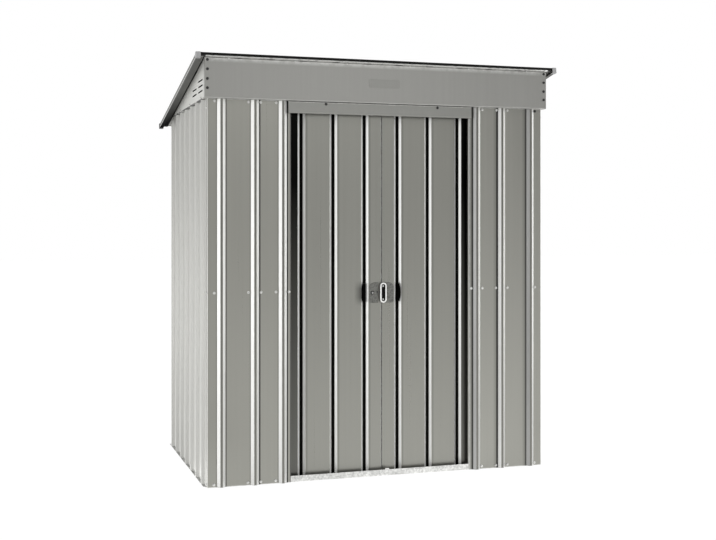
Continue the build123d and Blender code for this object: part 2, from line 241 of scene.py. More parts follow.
world = bpy.data.worlds.new("studio")
scene.world = world
world.use_nodes = True
wt = world.node_tree
wt.nodes.clear()
room, white = (wt.nodes.new("ShaderNodeBackground") for _ in range(2))
for shader in (room, white):
    shader.inputs["Color"].default_value = WHITE
room.inputs["Strength"].default_value = ROOM_LIGHT
outward = wt.nodes.new("ShaderNodeTexCoord").outputs["Generated"]
heading = parts_of(wt, outward)
forward = product(wt, heading["Y"], -1.0, clamp=True)
low_front = span(wt, product(wt, heading["Z"], forward), *LOW_FRONT)
ceiling = span(wt, heading["Z"], *CEILING)
shown = seen_by_metal(
    wt, outward, white.inputs["Strength"], room_level=WHITE_ROOM, box_level=0.0,
    fade=most(wt, [low_front, ceiling]),
)
world_out = wt.nodes.new("ShaderNodeOutputWorld")
pick_shader(wt, shown, room.outputs[0], white.outputs[0], world_out.inputs["Surface"])
print("room ready")

# %% [markdown]
# The floor is pale paint with a share of glow over it, which keeps it white for the camera
# and bright in the metal, and still lets the shed's shadow fall on it. Close to the shed
# it glows more, so that the feet of the sheets look lit from below. Inside the shed there
# is no glow: through the open doors one sees a plain floor in the shade.

# %% Paint for the floor
GLOW_SHARE = 0.85
FLOOR_GLOW = 1.05
INSIDE_HALF = (("X", 0.780), ("Y", 0.505))


def object_place(tree):
    """The object's own coordinates, which move with it."""
    return tree.nodes.new("ShaderNodeTexCoord").outputs["Object"]


floor_finish = bpy.data.materials.new("studio_floor")
floor_finish.use_nodes = True
ft = floor_finish.node_tree
ft.nodes.clear()
paint = ft.nodes.new("ShaderNodeBsdfDiffuse")
paint.inputs["Color"].default_value = (0.80, 0.80, 0.80, 1)
glow = ft.nodes.new("ShaderNodeEmission")
on_floor = object_place(ft)
length = ft.nodes.new("ShaderNodeVectorMath")
length.operation = "LENGTH"
fill(ft, length.inputs[0], on_floor)
reach = length.outputs["Value"]
shown = seen_by_metal(
    ft, on_floor, glow.inputs["Strength"], room_level=FLOOR_GLOW, box_level=FLOOR_GLOW,
    fade=span(ft, reach, 1.0, 14.0, 1.50, 1.05), least=span(ft, reach, 1.3, 2.8, 1.40, 0.0),
    camera_level=1.10,
)
floor_xyz = parts_of(ft, on_floor)
beyond = [
    span(ft, math_node(ft, "ABSOLUTE", floor_xyz[axis]), half, half + 0.01)
    for axis, half in INSIDE_HALF
]
floor_out = ft.nodes.new("ShaderNodeOutputMaterial")
glowing = product(ft, shown, most(ft, beyond), GLOW_SHARE)
pick_shader(ft, glowing, paint.outputs[0], glow.outputs[0], floor_out.inputs["Surface"])
print("floor paint ready")

# %% [markdown]
# The floor itself is one large square, so wide that its far edge meets the white of the
# room unseen. It lies a millimetre below the ground, so that no face of the shed touches
# it and flickers. It belongs to the studio and not to the shed.

# %% Lay the floor
FLOOR_HALF = 30
FLOOR_CORNERS = ((-1, -1), (1, -1), (1, 1), (-1, 1))

floor_mesh = bpy.data.meshes.new("floor")
floor_mesh.from_pydata(
    [(x * FLOOR_HALF, y * FLOOR_HALF, -0.001) for x, y in FLOOR_CORNERS], [], [(0, 1, 2, 3)]
)
floor_mesh.materials.append(floor_finish)
floor = bpy.data.objects.new("floor", floor_mesh)
scene.collection.objects.link(floor)
print("floor ready")

# %% [markdown]
# ## Soft boxes
# Four large lamps light the shed: one from each side, a weak one from the front, and a low
# one on the left, which reaches up under the eaves to the gable. Large lamps are soft, so
# their shadows have no hard edge. Their power is kept low, and the room does the rest.

# %% Hang the soft boxes


def soft_box(name, place, target, width, height, power):
    """A large rectangular lamp that faces a point."""
    lamp = bpy.data.lights.new(name, "AREA")
    lamp.shape = "RECTANGLE"
    lamp.size, lamp.size_y, lamp.energy = width, height, power
    holder = bpy.data.objects.new(name, lamp)
    holder.location = place
    aim = Vector(target) - Vector(place)
    holder.rotation_euler = aim.to_track_quat("-Z", "Y").to_euler()
    scene.collection.objects.link(holder)


soft_box("left_box", (-5.0, -2.2, 2.0), (0, -0.2, 0.9), 2.6, 4.5, power=52)
soft_box("right_box", (5.2, -1.5, 2.0), (0, -0.3, 0.9), 3.0, 4.5, power=110)
soft_box("front_box", (1.5, -7.5, 3.2), (0, 0, 0.9), 3.0, 2.0, power=25)
soft_box("eaves_box", (-4.6, 0.3, 0.5), (-0.8, 0, 1.5), 3.0, 0.9, power=26)
print(len(bpy.data.lights), "soft boxes")

# %% [markdown]
# ## Patterns
# Streaks, grain, stains and dashes all come from one kind of texture, noise. Scaled alike on
# every axis it gives clouds, and stretched along one axis it gives streaks, so two helpers
# are enough for them all.

# %% Patterns


def stretched(tree, coordinates, scale):
    """Coordinates scaled on each axis."""
    node = tree.nodes.new("ShaderNodeMapping")
    fill(tree, node.inputs["Vector"], coordinates)
    node.inputs["Scale"].default_value = scale
    return node.outputs["Vector"]


def noise(tree, coordinates, scale, detail=2.0, roughness=0.5):
    """A noise pattern's value."""
    node = tree.nodes.new("ShaderNodeTexNoise")
    fill(tree, node.inputs["Vector"], coordinates)
    for name, number in (("Scale", scale), ("Detail", detail), ("Roughness", roughness)):
        node.inputs[name].default_value = number
    return node.outputs[0]


print("pattern helpers ready")

# %% [markdown]
# ## Rolled steel, as a node group
# Thin coated sheet is never quite even. The rolls leave faint streaks along the sheet,
# the metallic coat has a fine grain, and the sheet waves a little between its ridges.
# A picture of steel could be wrapped around them, but it would repeat, and blur up close.
# Noise does neither. All the sheets share it, so it is one node group, which gives a tone
# to multiply the colour by, a change for the roughness, and a height for the bump.

# %% Build the group of rolled steel
STREAK_SCALE = (60, 60, 0.8)
WAVE_SCALE = (5, 5, 2.2)
WAVE_HEIGHT, GRAIN_HEIGHT = 0.0015, 0.0003

rolled, given, result = new_group(
    "rolled_steel", {"Place": "Vector", "Streaks": "Float", "Grain": "Float"},
    {"Tone": "Float", "Rough": "Float", "Height": "Float"},
)
place = given["Place"]
streak = noise(rolled, stretched(rolled, place, STREAK_SCALE), scale=1.0, detail=3.0, roughness=0.6)
grain = noise(rolled, place, scale=900.0, detail=2.0, roughness=0.7)
waves = noise(rolled, stretched(rolled, place, WAVE_SCALE), scale=1.0, detail=1.0)
streak_part = product(rolled, math_node(rolled, "SUBTRACT", streak, 0.5), given["Streaks"])
grain_part = product(rolled, math_node(rolled, "SUBTRACT", grain, 0.5), given["Grain"])
uneven_tone = math_node(rolled, "ADD", streak_part, grain_part)
fill(rolled, result["Tone"], math_node(rolled, "ADD", uneven_tone, 1.0))
fill(rolled, result["Rough"], math_node(rolled, "ADD", streak_part, product(rolled, grain_part, 0.5)))
fine = product(rolled, grain, GRAIN_HEIGHT)
fill(rolled, result["Height"], math_node(rolled, "ADD", product(rolled, waves, WAVE_HEIGHT), fine))
print("group", rolled.name, "with", len(rolled.nodes), "nodes")

# %% [markdown]
# ## Rubbed edges and painted highlights, as a node group
# Hands, tools and the weather rub the coat off cut edges and sharp folds first, and never evenly. Wear
# could be painted onto each sheet by hand, but that has to be done again after every change of shape.
# This group takes a mask of how near an edge is and breaks it up with noise, and each finish says for
# itself where its edges are. Several finishes also send painted highlights on folds, rims and
# undersides through it, so its mask is partly bare metal and partly painted highlight.

# %% Build the group of rubbed edges and painted highlights
wear_and_highlight, given, result = new_group(
    "edge_wear_and_highlight", {"Place": "Vector", "Nearness": "Float"}, {"Wear And Highlight": "Float"}
)
patches = noise(wear_and_highlight, given["Place"], scale=45.0, detail=3.0, roughness=0.6)
uneven = span(wear_and_highlight, patches, 0.35, 0.6, 0.45, 1.0)
fill(wear_and_highlight, result["Wear And Highlight"], product(wear_and_highlight, given["Nearness"], uneven, clamp=True))
print("group", wear_and_highlight.name, "with", len(wear_and_highlight.nodes), "nodes")

# %% [markdown]
# ## Masks
# A mask is a number from 0 to 1 that says where something shows. On a pressed sheet nearly
# everything runs in straight lines, so a mask can be had from the distance to a line on
# the object's own coordinates, or from the way that a face looks. Such a mask stays on its
# line from every side, and when a door slides, it goes along.

# %% Helpers for masks
SOFT_EDGE = 0.0012


def away_from(tree, value, centre):
    """How far a value is from a centre."""
    return math_node(tree, "ABSOLUTE", math_node(tree, "SUBTRACT", value, centre))


def near_line(tree, value, centre, half, fade=SOFT_EDGE, amount=1.0):
    """A mask within half of a line, in metres, that fades to 0."""
    return span(tree, away_from(tree, value, centre), half, half + fade, amount, 0.0)


def near_lines(tree, value, rows):
    """The greatest of several lines, from rows of (centre, half, fade, amount)."""
    return most(tree, [near_line(tree, value, *row) for row in rows])


def facing(tree, axis):
    """How far a face looks along an axis of the object, from -1 to 1."""
    return parts_of(tree, tree.nodes.new("ShaderNodeTexCoord").outputs["Normal"])[axis]


def flank_mask(tree):
    """The sloped flanks of upright ridges and grooves, which look halfway between two walls."""
    along, out = (math_node(tree, "ABSOLUTE", facing(tree, axis)) for axis in "XY")
    return span(tree, math_node(tree, "MINIMUM", along, out), 0.38, 0.60)


print("mask helpers ready")

# %% [markdown]
# ## The finishes
# The walls, doors and fascia are steel with a grey metallic coat, satin and slightly
# warm. Four helpers do what every finish needs: a new material with its shader, a colour
# scaled by a tone, one colour laid over another, and a bump from a height.

# %% Shaders, colours and bumps


def new_finish(name):
    """A new material; returns it, its tree and the inputs of its shader."""
    material = bpy.data.materials.new(name)
    material.use_nodes = True
    tree = material.node_tree
    tree.nodes.clear()
    body = tree.nodes.new("ShaderNodeBsdfPrincipled")
    out = tree.nodes.new("ShaderNodeOutputMaterial")
    fill(tree, out.inputs["Surface"], body.outputs[0])
    return material, tree, body.inputs


def tinted(tree, colour, amount):
    """A colour scaled by an amount."""
    node = tree.nodes.new("ShaderNodeVectorMath")
    node.operation = "SCALE"
    fill(tree, node.inputs[0], colour)
    fill(tree, node.inputs["Scale"], amount)
    return node.outputs[0]


def laid_over(tree, mask, under, over):
    """A plain colour over another one, where a mask says."""
    node = tree.nodes.new("ShaderNodeMix")
    node.data_type = "RGBA"
    for index, value in ((0, mask), (6, under), (7, (*over, 1))):
        fill(tree, node.inputs[index], value)
    return node.outputs[2]


def bumped(tree, height, strength, distance):
    """A normal bent by a height."""
    node = tree.nodes.new("ShaderNodeBump")
    for name, value in (("Strength", strength), ("Distance", distance), ("Height", height)):
        fill(tree, node.inputs[name], value)
    return node.outputs[0]


print("finish helpers ready")

# %% [markdown]
# A dozen materials could be copied and changed one by one, but then a better coat would have
# to be set a dozen times. Instead each coated piece starts from one recipe, with its own values.
# Masks do up to three things to it: they paint the sloped flanks lighter or darker as highlight or
# shade, they lay bare metal and painted highlights along edges, and they paint shade into folds and
# groove floors. The painted shade also makes its place more metallic, so that it stays dark from every
# angle.

# %% A recipe for coated steel
# WEAR_AND_HIGHLIGHT_GREY is the bare metal of rubbed edges and the colour of painted highlights.
WEAR_AND_HIGHLIGHT_GREY = (0.62, 0.62, 0.60)
FLANK_METALLIC = 0.3


def coated_steel(name, colour, metallic, roughness, streaks=0.10, grain=0.10, shade=None,
                 edges=None, bright=WEAR_AND_HIGHLIGHT_GREY, flank_painted_light=None, grazing=1.0):
    """Satin coated sheet. shade and edges take (tree, xyz) and return masks of painted shade, and of
    rubbed edges and painted highlights; flank_painted_light is a colour painted on sloped flanks as
    highlight or shade, and grazing is the sheen at a flat angle."""
    material, tree, body = new_finish(name)
    place = object_place(tree)
    xyz = parts_of(tree, place)
    sheet = use_group(tree, rolled, Place=place, Streaks=streaks, Grain=grain)
    look = tinted(tree, colour, sheet["Tone"])
    metal = metallic
    # Sloped flanks get a colour of their own: a painted highlight or painted shade.
    if flank_painted_light is not None:
        sloped = flank_mask(tree)
        look = laid_over(tree, sloped, look, flank_painted_light)
        metal = span(tree, sloped, 0.0, 1.0, metallic, FLANK_METALLIC)
    if edges is not None:
        wear_and_highlight_mask = use_group(tree, wear_and_highlight, Place=place, Nearness=edges(tree, xyz))
        look = laid_over(tree, wear_and_highlight_mask["Wear And Highlight"], look, bright)
    # Painted shade: the colour is darkened where the mask says.
    if shade is not None:
        mask = shade(tree, xyz)
        look = tinted(tree, look, math_node(tree, "SUBTRACT", 1.0, mask))
        metal = math_node(tree, "MAXIMUM", span(tree, mask, 0.3, 0.9), metal)
    fill(tree, body["Base Color"], look)
    fill(tree, body["Metallic"], metal)
    fill(tree, body["Roughness"], math_node(tree, "ADD", sheet["Rough"], roughness, clamp=True))
    fill(tree, body["Specular Tint"], (grazing, grazing, grazing, 1))
    fill(tree, body["Normal"], bumped(tree, sheet["Height"], strength=0.35, distance=1.0))
    return material


print("recipe ready")

# %% [markdown]
# ## Painted shade, painted highlights and bare edges on the walls
# Shade is painted as thin dark lines into the folds at the feet of the ridges, onto their crowns and
# onto some of their flanks. In the photograph the lines show beside each ridge, stronger at some ridges
# than at others. Light alone could draw them only if the photograph's studio were known, so they are
# laid on as masks of painted shade, and every ridge has an amount of its own. The sheets are bare along
# their cut edges, and a highlight is painted along the fold beside the doorway.

# %% Masks for the walls
WALL_FACE = -0.525
WALL_TOP = 1.660
CUT_EDGE = 0.002
LEFT_RIDGES = ((-0.725, 0.62), (-0.578, 0.98), (-0.455, 0.88))
RIGHT_RIDGES = ((0.728, 0.0215, 0.78), (0.583, 0.0215, 0.93), (0.458, 0.0200, 0.88))
# Flanks painted darker, as shade, with their amounts.
SHADED_FLANKS = ((0.728, 0.52), (0.458, 0.42))
# A line of painted shade runs at the left jamb, and a painted highlight at the right one.
LEFT_JAMB, RIGHT_JAMB = -0.4198, 0.4245


def wall_painted_shade(tree, xyz):
    """Painted shade in the folds at the feet of the front ridges and beside the left jamb, on the
    ridges' crowns and on some of their flanks.
    """
    folds = [(LEFT_JAMB, 0.0021, SOFT_EDGE, 0.78)]
    for x, amount in LEFT_RIDGES:
        folds += [(x + 0.0212, 0.0022, SOFT_EDGE, amount), (x - 0.0200, 0.0016, SOFT_EDGE, 0.35)]
    for x, foot, amount in RIGHT_RIDGES:
        folds += [(x - foot, 0.0032, 0.003, amount), (x - 0.026, 0.002, 0.014, 0.28)]
    front_only = span(tree, xyz["Y"], WALL_FACE + 0.001, WALL_FACE + 0.002, 1.0, 0.0)
    in_folds = product(tree, near_lines(tree, xyz["X"], folds), front_only)
    crowns = span(tree, xyz["Y"], WALL_FACE - 0.0119, WALL_FACE - 0.0115, 0.42, 0.0)
    shaded_flanks = [(x - 0.0125, 0.0070, SOFT_EDGE, amount) for x, amount in SHADED_FLANKS]
    return most(tree, [in_folds, crowns, near_lines(tree, xyz["X"], shaded_flanks)])


def sheet_ends(tree, xyz):
    """The cut edges of a wall sheet, at its foot and under the roof."""
    return near_lines(tree, xyz["Z"], [(z, CUT_EDGE) for z in (0.0, WALL_TOP)])


def wall_wear_and_highlight(tree, xyz):
    """Bare metal along the cut edges, and a painted highlight along the fold beside the doorway."""
    jamb = near_line(tree, xyz["X"], RIGHT_JAMB, 0.0022, amount=0.85)
    return most(tree, [sheet_ends(tree, xyz), jamb])


print("wall masks ready")

# %% [markdown]
# ## Painted shade, painted highlights and bare edges on the doors
# The floors of the doors' grooves are nearly black in the photograph, and a mask on their depth paints
# this shade on all of them at once. Beyond the outer grooves the leaves run on behind the front walls,
# and there the painted shade deepens with the height. Thin lines of painted shade run beside the
# grooves. The grips beside the lock get a soft painted shadow of their own, so there a mask across the
# door is multiplied by one along its height. A highlight is painted along the fold beside the left
# outer groove, and the cut edges of the leaves are bare.

# %% Masks for the doors
DOOR_FACE = -0.495
SEAM_X = 0.008
LOCK_Z = 0.817
LEAF_ENDS = (0.012, 1.615)
LEFT_FOLD = -0.3768
GROOVES = (-0.362, -0.216, -0.070, 0.086, 0.232, 0.378)
# The soft painted shadows beside the grips.
GRIP_SHADES = ((SEAM_X - 0.096, 0.001, 0.032, 0.65), (SEAM_X + 0.096, 0.001, 0.02, 0.2))


def door_painted_shade(tree, xyz):
    """Painted shade: deep on the grooves' floors and beyond the outer grooves, in thin lines beside the
    grooves, and soft at the grips.
    """
    floors = span(tree, xyz["Y"], DOOR_FACE + 0.0094, DOOR_FACE + 0.0104, 0.0, 0.99)
    outer = span(tree, away_from(tree, xyz["X"], SEAM_X), 0.3863, 0.3883)
    higher = span(tree, xyz["Z"], 0.1, 1.3, 0.60, 0.985)
    creases = near_lines(tree, xyz["X"], [(x + 0.0235, 0.0014, SOFT_EDGE, 0.34) for x in GROOVES])
    at_lock = near_line(tree, xyz["Z"], LOCK_Z - 0.002, 0.020, 0.036)
    grips = product(tree, near_lines(tree, xyz["X"], GRIP_SHADES), at_lock)
    return most(tree, [floors, product(tree, outer, higher), creases, grips])


def leaf_wear_and_highlight(tree, xyz):
    """Bare metal where the coat is rubbed off the leaf's cut edges, at its top and foot, and a painted
    highlight on the fold beside the left outer groove.
    """
    ends = near_lines(tree, xyz["Z"], [(z, CUT_EDGE) for z in LEAF_ENDS])
    return most(tree, [near_line(tree, xyz["X"], LEFT_FOLD, 0.0016, amount=2.0), ends])


print("door masks ready")

# %% [markdown]
# ## Fascia, header and gables
# The long edges of the fascia and of the rail over the doorway are folded, and highlights are painted
# along the folds. The gables' vent slots get painted highlights on their pressed rims. A broken line of
# painted shade follows each gable's foot: its dashes are a noise that is stretched until only its
# changes along the gable are left.

# %% Masks for the fascia, header and gables
FASCIA_FACE = -0.547
VENT_ROWS = (1.7445, 1.721, 1.6975)
RIM_LIFT = 0.0062
DASH_SCALE = (1, 22, 1)


def fascia_highlights(tree, xyz):
    """Painted highlights on the folds along the fascia's foot and its top."""
    folds = [(1.661, 0.0012, SOFT_EDGE, 0.7), (1.8334, 0.0055, 0.016, 0.75)]
    front_only = span(tree, xyz["Y"], FASCIA_FACE + 0.0004, FASCIA_FACE + 0.001, 1.0, 0.0)
    return product(tree, near_lines(tree, xyz["Z"], folds), front_only)


def header_highlight(tree, xyz):
    """A painted highlight on the top fold of the rail over the doorway."""
    return near_line(tree, xyz["Z"], 1.6585, 0.0036)


def gable_painted_shade(tree, xyz):
    """A broken line of painted shade where the gable meets the wall."""
    foot = near_line(tree, xyz["Z"], 1.6625, 0.0020)
    dashes = noise(tree, stretched(tree, object_place(tree), DASH_SCALE), scale=1.0, detail=1.0)
    return product(tree, foot, span(tree, dashes, 0.38, 0.50, 0.25, 0.92))


def gable_rim_highlights(tree, xyz):
    """Painted highlights on the pressed rims above and below the gable's vent slots."""
    rims = [(z + lift, 0.0008, 0.0014, 0.55) for z in VENT_ROWS for lift in (RIM_LIFT, -RIM_LIFT)]
    along = near_line(tree, xyz["Y"], -0.3525, 0.128, 0.004)
    return product(tree, near_lines(tree, xyz["Z"], rims), along)


print("fascia, header and gable masks ready")

# %% [markdown]
# ## The roof and its trims
# The trims that grip the roof's front and rear edges are dark, with a highlight painted pale on their
# underside. Those along its sides are pale, with shade painted on their underside, deeper towards the
# rear, and along a groove that slopes with the roof. An underside can't be told by its place, so these
# masks also take the way that a face looks. Where the roof stands out beyond the gables, shade is
# painted on its underside, deeper towards the rear, and in front of the fascia a highlight is painted
# on it.

# %% Masks for the roof and its trims
GABLE_FACE = 0.798
ROOF_SLOPE = 0.1835
TRIM_FRONT = -0.572
TRIM_GROOVE = 1.8388


def underside(tree):
    """The faces that look down."""
    return span(tree, facing(tree, "Z"), -0.6, -0.4, 1.0, 0.0)


def plain_underside(tree):
    """The faces that look straight down, strong enough to stay whole under the wear's patches."""
    return span(tree, facing(tree, "Z"), -0.75, -0.6, 1.4, 0.0)


def rearward(tree, xyz, front, rear):
    """A value that changes from the middle of the shed to its rear."""
    return span(tree, xyz["Y"], -0.05, 0.50, front, rear)


def trim_underside_highlight(tree, xyz):
    """A highlight painted on the underside of the front and rear trims, as far as the fascia goes."""
    out = away_from(tree, xyz["X"], 0.0)
    within = span(tree, out, GABLE_FACE - 0.001, GABLE_FACE + 0.001, 1.0, 0.0)
    return product(tree, plain_underside(tree), within)


def side_trim_painted_shade(tree, xyz):
    """Painted shade on the underside of the side trims, deeper towards the rear, and along the groove
    on their outer face.
    """
    below = product(tree, underside(tree), rearward(tree, xyz, 0.74, 1.0))
    fallen = product(tree, math_node(tree, "SUBTRACT", xyz["Y"], TRIM_FRONT), ROOF_SLOPE)
    levelled = math_node(tree, "ADD", xyz["Z"], fallen)
    outer = span(tree, away_from(tree, facing(tree, "X"), 0.0), 0.7, 0.9)
    groove = near_line(tree, levelled, TRIM_GROOVE, 0.0026, amount=0.93)
    return most(tree, [below, product(tree, groove, outer)])


def roof_painted_shade(tree, xyz):
    """Painted shade on the underside of the roof outside the gables, deeper towards the rear, with a
    dark line at the joint.
    """
    out = away_from(tree, xyz["X"], 0.0)
    outside = span(tree, out, GABLE_FACE - 0.001, GABLE_FACE + 0.001, 0.0, 0.50)
    joint = near_line(tree, out, GABLE_FACE + 0.0025, 0.0026, amount=0.99)
    shaded = most(tree, [product(tree, outside, rearward(tree, xyz, 1.0, 2.0)), joint])
    return product(tree, underside(tree), shaded, clamp=True)


def roof_underside_highlight(tree, xyz):
    """A painted highlight on the strip of the roof's underside in front of the fascia."""
    ahead = span(tree, xyz["Y"], FASCIA_FACE, FASCIA_FACE + 0.002, 1.0, 0.0)
    return product(tree, plain_underside(tree), ahead)


print("roof masks ready")

# %% [markdown]
# ## Coat the sheets
# With the recipe and the masks at hand, a finish is one call. The front sheets are the most metallic,
# and their sloped flanks are painted pale as highlights. The sides and gables are paler and duller,
# because the photograph shows them at a flat angle: their paler colour is painted light, and the side
# walls' flanks are painted darker as shade. The roof's sheen is kept low so that its overhang stays
# dark.

# %% Coated finishes
# FLANK_HIGHLIGHT_GREY paints the sloped flanks of the front sheets pale, as a highlight.
FLANK_HIGHLIGHT_GREY = (0.80, 0.80, 0.78)
# WEAR_AND_HIGHLIGHT_WHITE is the bare metal of rubbed edges and the colour of painted highlights.
WEAR_AND_HIGHLIGHT_WHITE = (0.90, 0.90, 0.87)

front_coat = {"metallic": 0.72, "roughness": 0.30, "flank_painted_light": FLANK_HIGHLIGHT_GREY}
wall_finish = coated_steel(
    "wall_sheet", (0.318, 0.316, 0.285), shade=wall_painted_shade, edges=wall_wear_and_highlight, **front_coat
)
right_wall_finish = coated_steel(
    "wall_sheet_right", (0.328, 0.326, 0.296), shade=wall_painted_shade, edges=wall_wear_and_highlight, **front_coat
)
# The side walls' pale colour is painted light, and their flanks are painted darker, as shade.
side_finish = coated_steel(
    "side_sheet", (0.535, 0.535, 0.508), metallic=0.66, roughness=0.40, edges=sheet_ends,
    flank_painted_light=(0.40, 0.40, 0.38),
)
door_finish = coated_steel(
    "door_sheet", (0.285, 0.284, 0.257), shade=door_painted_shade, edges=leaf_wear_and_highlight, bright=WEAR_AND_HIGHLIGHT_WHITE,
    **front_coat,
)
header_finish = coated_steel(
    "header_rail", (0.300, 0.300, 0.281), metallic=0.68, roughness=0.36, edges=header_highlight
)
fascia_finish = coated_steel(
    "fascia_sheet", (0.347, 0.345, 0.326), metallic=0.62, roughness=0.38, edges=fascia_highlights,
    bright=(0.70, 0.70, 0.68),
)
# The gables' pale colour is painted light.
gable_finish = coated_steel(
    "gable_sheet", (0.63, 0.63, 0.598), metallic=0.45, roughness=0.42, streaks=0.06,
    shade=gable_painted_shade, edges=gable_rim_highlights, bright=WEAR_AND_HIGHLIGHT_WHITE,
)
# The roof's dark underside outside the gables is painted shade, and its pale strip in front of the
# fascia a painted highlight.
roof_finish = coated_steel(
    "roof_sheet", (0.31, 0.31, 0.292), metallic=0.6, roughness=0.42, shade=roof_painted_shade,
    edges=roof_underside_highlight, bright=WEAR_AND_HIGHLIGHT_WHITE, grazing=0.4,
)
# The trims' pale underside is a painted highlight.
trim_finish = coated_steel(
    "roof_trim", (0.012, 0.012, 0.011), metallic=0.8, roughness=0.5, edges=trim_underside_highlight,
    bright=(0.92, 0.92, 0.90),
)
# The side trims' dark underside and groove are painted shade.
side_trim_finish = coated_steel(
    "roof_side_trim", (0.62, 0.62, 0.60), metallic=0.5, roughness=0.42, shade=side_trim_painted_shade,
    grazing=0.4,
)
print("coated finishes:", [m.name for m in bpy.data.materials])

# %% [markdown]
# ## Bare galvanised steel
# The doors' track and the rails inside are bare. Their zinc has frozen into flat
# crystals, the spangle. Noise would give clouds without edges, so a Voronoi texture is
# used here: it splits the surface into cells, and each cell gets its own tone and gloss.

# %% Galvanised steel
STAIN_SCALE = (14, 14, 40)


def galvanised(name, colour, spangle_size=0.009):
    """Zinc-coated steel with its crystals."""
    material, tree, body = new_finish(name)
    place = object_place(tree)
    cells = tree.nodes.new("ShaderNodeTexVoronoi")
    fill(tree, cells.inputs["Vector"], place)
    fill(tree, cells.inputs["Scale"], 1 / spangle_size)
    crystal = parts_of(tree, cells.outputs["Color"])
    stains = noise(tree, stretched(tree, place, STAIN_SCALE), scale=1.0, detail=4.0, roughness=0.65)
    crystal_tone = span(tree, crystal[0], 0, 1, 0.78, 1.15)
    tone = product(tree, crystal_tone, span(tree, stains, 0.3, 0.75, 1.1, 0.72))
    fill(tree, body["Base Color"], tinted(tree, colour, tone))
    fill(tree, body["Roughness"], span(tree, crystal[1], 0, 1, 0.32, 0.5))
    fill(tree, body["Metallic"], 0.85)
    fill(tree, body["Normal"], bumped(tree, stains, strength=0.2, distance=0.0006))
    return material


rail_finish = galvanised("galvanised_rail", (0.55, 0.55, 0.54))
strip_finish = galvanised("galvanised_strip", (0.90, 0.90, 0.88), 0.005)
track_finish = galvanised("galvanised_track", (0.72, 0.72, 0.70), 0.006)
print("galvanised finishes ready")

# %% [markdown]
# ## Plastic
# The roof's corner caps are moulded grey plastic and the doors' runners are nylon. Both
# have the fine, dull texture of a mould, so one recipe makes them. The screws' washers
# are rubber, which looks the same but darker.

# %% Moulded plastic


def moulded(name, colour, roughness):
    """Dull moulded plastic with a fine grain."""
    material, tree, body = new_finish(name)
    place = object_place(tree)
    spots = noise(tree, place, scale=700.0)
    cloud = noise(tree, place, scale=35.0)
    fill(tree, body["Base Color"], tinted(tree, colour, span(tree, cloud, 0.3, 0.7, 0.9, 1.08)))
    fill(tree, body["Roughness"], span(tree, spots, 0.3, 0.7, roughness - 0.06, roughness + 0.08))
    fill(tree, body["Normal"], bumped(tree, spots, strength=0.3, distance=0.0002))
    return material


cap_finish = moulded("cap_plastic", (0.42, 0.42, 0.42), 0.5)
# The rear caps are the same grey plastic, coloured near black as painted shade.
rear_cap_painted_shade = moulded("cap_plastic_rear_painted_shade", (0.05, 0.05, 0.05), 0.5)
runner_finish = moulded("runner_nylon", (0.72, 0.71, 0.67), 0.45)
rubber_finish = moulded("washer_rubber", (0.02, 0.02, 0.02), 0.7)
print("plastics ready")

# %% [markdown]
# ## Lock plates
# Each plate is pressed steel in the doors' colour. The grip in the groove beside it and the inside of
# the pull's cup are black plastic. The two meet at known places, so masks on the object's own
# coordinates tell them apart. Shade is painted along the plates' borders.

# %% Lock plate finish
CUP_X = SEAM_X + 0.004


def lock_plastic_and_painted_shade(tree, xyz):
    """The black grips beside the plates, the black inside of the pull's cup, random dark blots on the
    plates, and painted shade along their borders.
    """
    grips = span(tree, away_from(tree, xyz["X"], SEAM_X), 0.0588, 0.0592, 0.0, 0.99)
    across_cup = near_line(tree, xyz["X"], CUP_X, 0.0091, 0.0004)
    along_cup = near_line(tree, xyz["Z"], LOCK_Z, 0.0385, 0.0007)
    cup = product(tree, across_cup, along_cup, span(tree, xyz["Y"], -0.5128, -0.5122, 0.0, 0.99))
    # Painted shade along the plates' borders.
    borders = span(tree, xyz["Y"], DOOR_FACE - 0.0026, DOOR_FACE - 0.0022, 0.0, 0.7)
    spots = noise(tree, object_place(tree), scale=170.0, detail=3.0, roughness=0.6)
    blots = span(tree, spots, 0.46, 0.60, 0.0, 0.42)
    plates = span(tree, away_from(tree, xyz["X"], CUP_X), 0.0150, 0.0158)
    return most(tree, [grips, cup, borders, product(tree, blots, plates)])


def pull_rim(tree, xyz):
    """The bright rim of the pull."""
    front = span(tree, xyz["Y"], -0.5035, -0.5030, 2.2, 0.0)
    return product(tree, near_line(tree, xyz["X"], CUP_X, 0.0152, 0.0004), front)


lock_finish = coated_steel(
    "lock_plate", (0.20, 0.20, 0.185), metallic=0.8, roughness=0.34, streaks=0.05, grain=0.5,
    shade=lock_plastic_and_painted_shade, edges=pull_rim, bright=(0.97, 0.97, 0.95),
)
print("lock plates ready")

# %% [markdown]
# ## Give every solid its finish
# A finish could be picked for each solid by hand. But the solids are named after what they
# are, so the start of a name is enough to choose by. The first rule that fits counts, and
# a solid that no rule fits is one of the other wall sheets.

# %% Choose by name
FINISHES = {
    "side_wall": side_finish, "front_wall_right": right_wall_finish,
    "door_leaf": door_finish, "door_seam": strip_finish, "door_head": header_finish,
    "door_hanging": rail_finish, "door_braces": rail_finish, "door_runners": runner_finish,
    "lock_plate": lock_finish, "fascia": fascia_finish, "gable": gable_finish,
    "roof_sheet": roof_finish, "roof_beam": rail_finish,
    "roof_trim_front": trim_finish, "roof_trim_rear": trim_finish, "roof_trim": side_trim_finish,
    "roof_cap_front": cap_finish, "roof_cap_rear": rear_cap_painted_shade,
    "base_rail_front": track_finish, "base_rail": rail_finish, "mid_rail": rail_finish,
    "top_rail": rail_finish,
}
for name, solid in nodes.items():
    solid.data.materials.clear()
    solid.data.materials.append(
        next((finish for start, finish in FINISHES.items() if name.startswith(start)), wall_finish)
    )
print("finishes set on", len(nodes), "solids")

